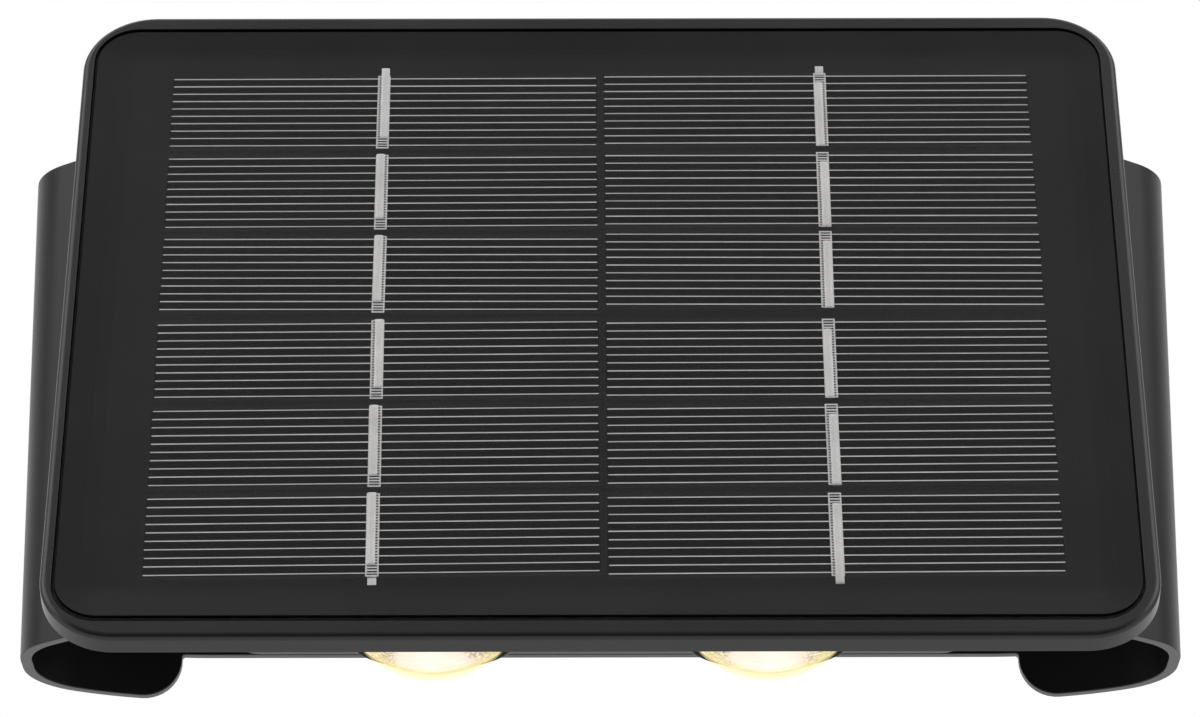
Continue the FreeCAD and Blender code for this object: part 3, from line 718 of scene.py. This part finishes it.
# %% [markdown]
# ## The printed lines
#
# Ten thin silver lines run along each strip, and a ladder of two rails and short rungs crosses them
# under the ribbon. They are printed paste, a few hundredths of a millimetre thick, so thin slabs
# give them their real form. Each line wanders in width by a hair, from a seeded generator.

# %% Fingers and ladders
paste, tree = finish("silver_paste")
cloud = noise(tree, 0.8 * mm, 2)
surface(tree, {"Base Color": ramp(tree, cloud, [(0.3, (0.88, 0.86, 0.86)), (0.7, (0.95, 0.94, 0.93))]),
               "Roughness": 0.5 + (cloud - 0.5) * 0.2,
               "Normal": bump(tree, cloud, 4e-6)})

random.seed(7)
finger_count = 10
finger_span = 11.1 * mm
finger_length = 51.2 * mm
finger_width = 0.13 * mm
paste_thickness = 0.02 * mm
paste_top = field_top + paste_thickness
ladder_half = 0.66 * mm
rail_width = 0.18 * mm
rungs_per_finger = 3
rung_width = 0.20 * mm
extra_rungs = 3
# in millimetres and as a share: how far a line strays, and how much its width varies
finger_wander = 0.05
width_spread = 0.15
# for each column in millimetres: where the top strip's ladder lies, and the step to the next one
ladder_start = (-0.1, 0.5)
ladder_step = (0.03, -0.08)


def turned_offset(du, dv, turn):
    return (du * math.cos(turn) - dv * math.sin(turn), du * math.sin(turn) + dv * math.cos(turn))


def ladder_place(column, row):
    """How far the ladder lies to the right of its strip's middle."""
    return (ladder_start[column] + ladder_step[column] * row) * mm


fingers = []
ladders = []
finger_pitch = finger_span / (finger_count - 1)
for column, row, u, v, turn in cell_rows():
    for line in range(finger_count):
        dv = (line - (finger_count - 1) / 2) * finger_pitch
        du, dv = turned_offset(random.uniform(-finger_wander, finger_wander) * mm, dv, turn)
        width = finger_width * random.uniform(1 - width_spread, 1 + width_spread)
        fingers.append((u + du, v + dv, field_top, paste_top, finger_length / 2, width / 2, turn))
    middle = ladder_place(column, row)
    rung_count = (finger_count - 1) * rungs_per_finger + extra_rungs
    rung_pitch = finger_pitch / rungs_per_finger
    half_height = (rung_count - 1) * rung_pitch / 2
    for side in (-1, 1):
        du, dv = turned_offset(middle + side * ladder_half, 0, turn)
        ladders.append((u + du, v + dv, field_top, paste_top, rail_width / 2,
                        half_height + rung_width / 2, turn))
    for rung in range(rung_count):
        du, dv = turned_offset(middle, rung * rung_pitch - half_height, turn)
        ladders.append((u + du, v + dv, field_top, paste_top, ladder_half, rung_width / 2, turn))
finger_piece = slabs("printed_fingers", fingers, paste)
ladder_piece = slabs("printed_ladders", ladders, paste)
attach(finger_piece, "lamp")
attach(ladder_piece, "lamp")
print("fingers:", len(fingers), "ladder slabs:", len(ladders))

# %% [markdown]
# ## The ribbons
#
# A flat tinned ribbon is soldered along each ladder and dives under the next strip in the gap. It
# leaves about three bare rungs at one end of each strip. Solder is never quite flat, so each ribbon
# is a crowned strip whose edges and height waver along its length.

# %% Tinned ribbon
tin, tree = finish("tin")
grain = noise(tree, 0.22 * mm, 2, (1.6, 1, 0.7))
cloud = noise(tree, 2.5 * mm, 2)
surface(tree, {"Base Color": ramp(tree, grain * 0.6 + cloud * 0.4,
                                  [(0.35, (0.84, 0.82, 0.80)), (0.65, (0.97, 0.96, 0.95))]),
               "Metallic": 0.1, "Roughness": 0.42 + (grain - 0.5) * 0.2,
               "Normal": bump(tree, grain, 1e-5)})
ribbon_width = 1.0 * mm
ribbon_stub = 1.5 * mm
ribbon_overlap = 0.4 * mm
ribbon_lean = 0.16 * mm
ribbon_steps = 26
glaze_gap = 0.01 * mm
bare_end = 1.3 * mm


def ribbon_run(points, faces, u, v, turn, low, high, side):
    """Adds one crowned ribbon from low to high up its strip, lying a little to one side."""
    profile = [(-1.0, 0.0), (-0.92, 0.55), (-0.4, 0.85), (0.0, 1.0), (0.4, 0.85), (0.92, 0.55),
               (1.0, 0.0)]
    rise = ribbon_room - field_thickness - paste_thickness - glaze_gap
    first = len(points)
    for step in range(ribbon_steps + 1):
        along = low + (high - low) * step / ribbon_steps
        wander = random.uniform(-0.02, 0.02) * mm
        for across_share, up_share in profile:
            du, dv = turned_offset(side + wander + across_share * ribbon_width / 2, along, turn)
            lift = paste_top + rise * up_share * random.uniform(0.85, 1.0)
            points.append(pane_point(u + du, v + dv, lift))
    wide = len(profile)
    for step in range(ribbon_steps):
        for index in range(wide):
            here = first + step * wide + index
            beside = first + step * wide + (index + 1) % wide
            faces.append((here, beside, beside + wide, here + wide))
    faces.append(tuple(first + index for index in reversed(range(wide))))
    faces.append(tuple(first + ribbon_steps * wide + index for index in range(wide)))


ribbon_points = []
ribbon_faces = []
for column, row, u, v, turn in cell_rows():
    half = field_height / 2
    lean = ribbon_lean * (1 if row in (0, 3) else -1) * (1 if column == 0 else -1)
    middle = ladder_place(column, row) + lean
    if column == 0:
        low = -half + bare_end
        high = half + (ribbon_stub if row == 0 else ribbon_overlap)
    else:
        low = -half - (ribbon_stub if row == 5 else ribbon_overlap)
        high = half - bare_end
    ribbon_run(ribbon_points, ribbon_faces, u, v, turn, low, high, middle)
ribbons = new_piece("tinned_ribbons", ribbon_points, ribbon_faces, tin)
ribbons.data.polygons.foreach_set("use_smooth", [True] * len(ribbons.data.polygons))
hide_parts("cell_ribbons")
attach(ribbons, "lamp")

end_stubs = []
for column, row, u, v, turn in cell_rows():
    half = field_height / 2
    if (column, row) in ((0, 5), (1, 0)):
        side = -1 if column == 0 else 1
        du, dv = turned_offset(ladder_place(column, row), side * (half + ribbon_stub / 2), turn)
        end_stubs.append((u + du, v + dv, cell_top - cell_thickness, cell_top, ribbon_width / 2,
                          ribbon_stub / 2, turn))
stubs = slabs("ribbon_stubs", end_stubs, tin)
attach(stubs, "lamp")
print("ribbons:", len(ribbon_faces), "faces; stubs:", len(end_stubs))

# %% [markdown]
# ## The glazing
#
# A thin clear laminate lies over the cells. It is nearly invisible, apart from a faint haze and some
# smudges, so it is a mostly transparent coat whose opacity drifts.

# %% Glazing
glaze, tree = finish("glazing")
smudge = noise(tree, 14 * mm, 4, (1, 1, 2.2))
fleck = noise(tree, 0.5 * mm, 1)
surface(tree, {"Base Color": (0.05, 0.05, 0.052, 1.0),
               "Roughness": 0.16 + (smudge - 0.5) * 0.12,
               "Specular IOR Level": 0.3,
               "Alpha": 0.10 + (smudge - 0.5) * 0.1,
               "Normal": bump(tree, fleck, 1e-6)})
glaze_bevel = 0.05 * mm
glazing = joined_rings("glazing", [ring_of(pane, pane_corner, 0.0),
                                   ring_of(pane, pane_corner, glaze_thickness - glaze_bevel),
                                   ring_of(pane, pane_corner, glaze_thickness, -glaze_bevel)],
                       glaze, capped=True)
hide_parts("panel_cover")
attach(glazing, "lamp")
print("glazing faces:", len(glazing.data.polygons))

# %% [markdown]
# ## The sealed joint
#
# The sealant is a lumpy black fill at the bottom of the joint, which catches small sparks of light
# because it was never smoothed. It runs from under the pane's edge to the wall of the opening. Its
# rings are joined in the order that turns the faces inwards, as the negative volume shows.

# %% Sealant
sealant, tree = finish("sealant")
lumps = noise(tree, 0.7 * mm, 3)
surface(tree, {"Base Color": ramp(tree, lumps, [(0.4, (0.002, 0.002, 0.002)),
                                                (0.8, (0.004, 0.004, 0.004))]),
               "Roughness": 0.30 + lumps * 0.2, "Specular IOR Level": 0.12,
               "Normal": bump(tree, lumps, 4e-5)})
fill_low = -1.0 * mm
fill_high = 0.12 * mm
fill_lumps = 0.06 * mm
fill_arc_steps = 24
fill_side_steps = 130


def lumpy(ring, reach):
    return [(u, v, w + random.uniform(-reach, reach)) for u, v, w in ring]


def joint_ring(share, w, reach):
    """A ring in the joint, from the pane's outline at share 0 to the opening's at share 1."""
    outline = tuple(a + (b - a) * share for a, b in zip(pane, opening))
    corner = pane_corner + (opening_corner - pane_corner) * share
    return lumpy(ring_of(outline, corner, w, 0.0, fill_arc_steps, fill_side_steps), reach)


fill_rings = [joint_ring(0.02, fill_low, 0), joint_ring(0.02, fill_high, 0)]
fill_rings += [joint_ring(share, fill_high, fill_lumps) for share in (0.25, 0.5, 0.75)]
fill_rings += [joint_ring(0.98, fill_high, 0), joint_ring(0.98, fill_low, 0)]
fill = joined_rings("sealant_fill", fill_rings, sealant)
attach(fill, "lamp")
print("fill faces:", len(fill.data.polygons), "signed volume in mm3:", volume_of(fill.data))

# %% [markdown]
# ## The domes and their painted glow
#
# Each lens is a clear hollow dome, and its inner face is hammered so that the light spreads. Seen
# from the front, the hammered face is warm white and the clear wall below it a pale yellow crescent.
# Both are painted glow: an emission that stands in for the white room seen through the plastic. So
# each lens is two pieces: a turned clear shell, and inside it the dimpled liner with its painted glow.

# %% Turned pieces
lens_radius = 9.5 * mm
dome_radius = 11.8 * mm
lens_wall = 1.0 * mm
lens_flange_radius = 10.6 * mm
lens_flange = 1.2 * mm
on_axis = 1e-7


def turned_piece(name, profile, centre, steps, material, dimple=None):
    """Turns (radius, height) points about the Z axis through centre. dimple moves the points."""
    points = []
    rings = []
    for index, (radius, height) in enumerate(profile):
        if radius < on_axis:
            rings.append([len(points)] * steps)
            points.append(Vector((centre.x, centre.y, height)))
            continue
        rings.append(list(range(len(points), len(points) + steps)))
        for step in range(steps):
            angle = 2 * math.pi * step / steps
            point = Vector((centre.x + radius * math.cos(angle), centre.y + radius * math.sin(angle),
                            height))
            points.append(point + dimple(point) if dimple else point)
    faces = []
    for lower, upper in zip(rings, rings[1:]):
        for step in range(steps):
            beside = (step + 1) % steps
            corners = [lower[step], lower[beside], upper[beside], upper[step]]
            faces.append(tuple(dict.fromkeys(corners)))
    piece = new_piece(name, points, faces, material)
    piece.data.polygons.foreach_set("use_smooth", [True] * len(piece.data.polygons))
    return piece


def dome_arc(radius, rim_radius, centre_height, count):
    """Points of an arc from the axis out to the rim, below its centre."""
    widest = math.asin(rim_radius / radius)
    return [(radius * math.sin(widest * step / count),
             centre_height - radius * math.cos(widest * step / count)) for step in range(count + 1)]


dome_edge = dome_arc(dome_radius, lens_radius, 0, 4)[-1]
print("radius and height of a dome's edge in mm:", [round(x / mm, 2) for x in dome_edge])

# %% [markdown]
# ## Clear plastic and the painted glow
#
# The clear wall is nearly invisible where it is looked at straight, and densest in a band where it
# turns away. A facing value drives its opacity, and its pale yellow is a painted glow, an emission, so
# it gathers in a crescent. The hammered face is a painted glow too, bright in its middle and speckled
# towards both sides, so its colour follows the distance from the lens's own axis, and a painted shade
# darkens it to amber where it is seen edge on.

# %% Clear plastic and the painted glow
clear, tree = finish("clear_dome_painted_glow")
cloud = noise(tree, 3 * mm, 2)
grazing = Wire.make(tree, "ShaderNodeLayerWeight", {}, {"Blend": 0.5}, "Facing")
density = ramp(tree, grazing + (cloud - 0.5) * 0.05,
               [(0.0, (0.02, 0.02, 0.02)), (0.50, (0.04, 0.04, 0.04)), (0.60, (0.42, 0.42, 0.42)),
                (0.82, (0.26, 0.26, 0.26)), (0.96, (0.06, 0.06, 0.06)), (1.0, (0.30, 0.30, 0.30))])
# The yellow emission is painted glow: it stands in for the white room seen through the yellowish wall.
surface(tree, {"Base Color": (0.03, 0.025, 0.012, 1.0), "Roughness": 0.08, "IOR": 1.49,
               "Alpha": density,
               "Emission Color": (1.0, 0.82, 0.17, 1.0), "Emission Strength": 0.95,
               "Normal": bump(tree, cloud, 5e-6)})

inside, tree = finish("clear_inside")
cloud = noise(tree, 3 * mm, 2)
surface(tree, {"Base Color": (0.5, 0.45, 0.3, 1.0), "Roughness": 0.08 + cloud * 0.04, "IOR": 1.49,
               "Alpha": 0.03})

# Painted glow: the liner's emission stands in for room light coming through the clear plastic.
liner_painted_glow, tree = finish("hammered_painted_glow")
place = Wire.make(tree, "ShaderNodeTexCoord", output="Object")
lens_low, lens_high = (Vector(corner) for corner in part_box("lens_right"))
lens_offset = (lens_low.x + lens_high.x) / 2
painted_glow_reach = 10 * mm
side_place = Wire.make(tree, "ShaderNodeSeparateXYZ", {}, {0: place}, output="X")
off_axis = side_place.maths("ABSOLUTE", side_place, 0.0) - lens_offset
off_axis = off_axis.maths("ABSOLUTE", off_axis, 0.0)
speckle = noise(tree, 0.42 * mm, 3)
patch = noise(tree, 2.5 * mm, 2)
sides = ramp(tree, off_axis * (1 / painted_glow_reach) + (patch - 0.5) * 0.4,
             [(0.40, (0.0, 0.0, 0.0)), (0.54, (1.0, 1.0, 1.0))])
plain = ramp(tree, off_axis * (1 / painted_glow_reach) + (patch - 0.5) * 0.5,
             [(0.05, (1.0, 0.96, 0.84)), (0.40, (0.98, 0.82, 0.68))])
rough = ramp(tree, speckle, [(0.36, (0.27, 0.21, 0.16)), (0.50, (0.62, 0.49, 0.36)),
                             (0.64, (0.98, 0.86, 0.72))])
painted_glow_colour = Wire.make(tree, "ShaderNodeMix", {"data_type": "RGBA"}, {0: sides, 6: plain, 7: rough}, 2)
# Painted shade: the glow turns amber where the liner is seen edge on.
edge_on = Wire.make(tree, "ShaderNodeLayerWeight", {}, {"Blend": 0.5}, "Facing")
painted_edge_shade_share = ramp(tree, edge_on, [(0.80, (0.0, 0.0, 0.0)), (0.93, (1.0, 1.0, 1.0))])
painted_glow_and_edge_shade = Wire.make(tree, "ShaderNodeMix", {"data_type": "RGBA"},
                {0: painted_edge_shade_share, 6: painted_glow_colour, 7: (0.55, 0.38, 0.17, 1.0)}, 2)
surface(tree, {"Base Color": (0.03, 0.03, 0.03, 1.0), "Roughness": 0.4,
               "Emission Color": painted_glow_and_edge_shade, "Emission Strength": 0.97,
               "Normal": bump(tree, speckle, 4e-5)})
print("lens axes at plus and minus", round(lens_offset / mm, 2), "mm")

# %% [markdown]
# ## Domes, liners and collars
#
# Each lens is turned on its own axis, which its solid's box gives. The inner wall of the clear shell
# gets a nearly clear finish, because at a grazing angle it would turn yellow too. A dark collar
# lies round each dome at the end of its boss, and its profile is a few points drawn one by one. They
# run the way that turns the collar's faces inwards, as the negative volume shows.


# %% Domes
dimple_depth = 0.02 * mm
# radians a metre along each axis, and how much of the axis before is mixed in
x_waves, y_waves, z_waves = 5200, 4700, 6100
x_share, y_share = 900, 1300


def dimples(point):
    """Small hammered hollows over the liner, from waves that never line up."""
    wave = (math.sin(point.x * x_waves) + math.sin(point.y * y_waves + point.x * x_share)
            + math.sin(point.z * z_waves + point.y * y_share))
    return Vector((0, 0, wave * dimple_depth))


dome_arc_steps = 24
wall_arc_steps = 20
liner_arc_steps = 40
dome_turns = 72
liner_turns = 120
roof_share = 0.96
roof_rise = 0.3 * mm
near = 0.1 * mm
liner_radius = 14.5 * mm
liner_rim = 8.3 * mm
liner_rise = 1.06 * mm
# The collar is black plastic, and its extra dark colour with almost no sheen is painted shade.
collar_black_painted_shade = moulded("collar_black_painted_shade", (0.002, 0.002, 0.002), (0.004, 0.004, 0.004), 0.6,
                       specular=0.06)
# (radius, height) in millimetres
collar_profile = [(9.45, -31.76), (9.38, -31.84), (8.85, -31.84), (8.78, -31.76), (9.52, -30.80),
                  (9.52, -30.20), (10.55, -30.20), (10.20, -30.85)]
for side in ("left", "right"):
    low, high = (Vector(corner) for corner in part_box("lens_" + side))
    middle = (low + high) / 2
    dome_centre = low.z + dome_radius
    flange_low = high.z - lens_flange
    outer = dome_arc(dome_radius, lens_radius, dome_centre, dome_arc_steps)
    inner = dome_arc(dome_radius - lens_wall, lens_radius - lens_wall, dome_centre, wall_arc_steps)
    profile = (outer + [(lens_radius, flange_low), (lens_flange_radius, flange_low),
                        (lens_flange_radius, high.z), (lens_radius - lens_wall, high.z)]
               + list(reversed(inner)))
    shell = turned_piece("dome_" + side, profile, middle, dome_turns, clear)
    shell.data.materials.append(inside)
    inner_radius = dome_radius - lens_wall
    for face in shell.data.polygons:
        if (face.center - Vector((middle.x, middle.y, dome_centre))).length < inner_radius + near:
            face.material_index = 1
    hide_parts("lens_" + side)
    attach(shell, "lamp")
    liner_centre = low.z + liner_rise + liner_radius
    liner = dome_arc(liner_radius, liner_rim, liner_centre, liner_arc_steps)
    roof = [(radius * roof_share, height + roof_rise) for radius, height in reversed(liner)]
    painted_glow_liner = turned_piece("liner_" + side, liner + roof, middle, liner_turns, liner_painted_glow,
                           dimples)
    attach(painted_glow_liner, "lamp")
    closed = collar_profile + collar_profile[:1]
    collar = turned_piece("collar_" + side, [(r * mm, z * mm) for r, z in closed], middle,
                          dome_turns, collar_black_painted_shade)
    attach(collar, "lamp")
    print(shell.name, "points:", len(shell.data.vertices), "liner:", len(painted_glow_liner.data.vertices),
          "collar's signed volume in mm3:", volume_of(collar.data))

# %% [markdown]
# ## Screws on the back
#
# On a real light the two flush screws that hold the shell would have cross recesses. Here two
# tapered bars are taken out of a copy of the screws with a boolean. It doesn't work: the
# cut only scores the cross on the flat head and leaves no pit, as the same volume before and after
# shows. A recess built face by face would be the next thing to try.


# %% Cross recesses
recess_long = 1.5
recess_short = 0.35
recess_above = 0.2 * mm
recess_depth = 1.1 * mm
recess_taper = 0.35


def bar_cutter(x, z, wide, tall):
    """One bar of the cross, given in half widths in millimetres. Its long side narrows inwards."""
    points = []
    for y, share in ((recess_above, 1.0), (-recess_depth, recess_taper)):
        reach_u = wide * (share if wide == recess_long else 1.0)
        reach_v = tall * (share if tall == recess_long else 1.0)
        points += [(x + du * reach_u * mm, y, z + dv * reach_v * mm)
                   for du, dv in ((-1, -1), (1, -1), (1, 1), (-1, 1))]
    quads = [(0, 1, 2, 3), (7, 6, 5, 4), (4, 5, 1, 0), (5, 6, 2, 1), (6, 7, 3, 2), (7, 4, 0, 3)]
    mesh = bpy.data.meshes.new("cutter")
    mesh.from_pydata(points, [], quads)
    cutter = bpy.data.objects.new("cutter", mesh)
    scene.collection.objects.link(cutter)
    return cutter


screw_low, screw_high = (Vector(corner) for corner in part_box("shell_screws"))
head_radius = (screw_high.z - screw_low.z) / 2
screw_height = (screw_low.z + screw_high.z) / 2
cutters = [bar_cutter(x, screw_height, wide, tall)
           for x in (screw_low.x + head_radius, screw_high.x - head_radius)
           for wide, tall in ((recess_long, recess_short), (recess_short, recess_long))]
screws = cut_copy("shell_screws_crossed", "shell_screws", cutters, finishes["screw_steel"])
print("screws in mm3 before and after:", volume_of(nodes["shell_screws"].data), volume_of(screws.data))

# %% [markdown]
# ## Sizes
#
# The dressed model has to fill the same box as the solids.
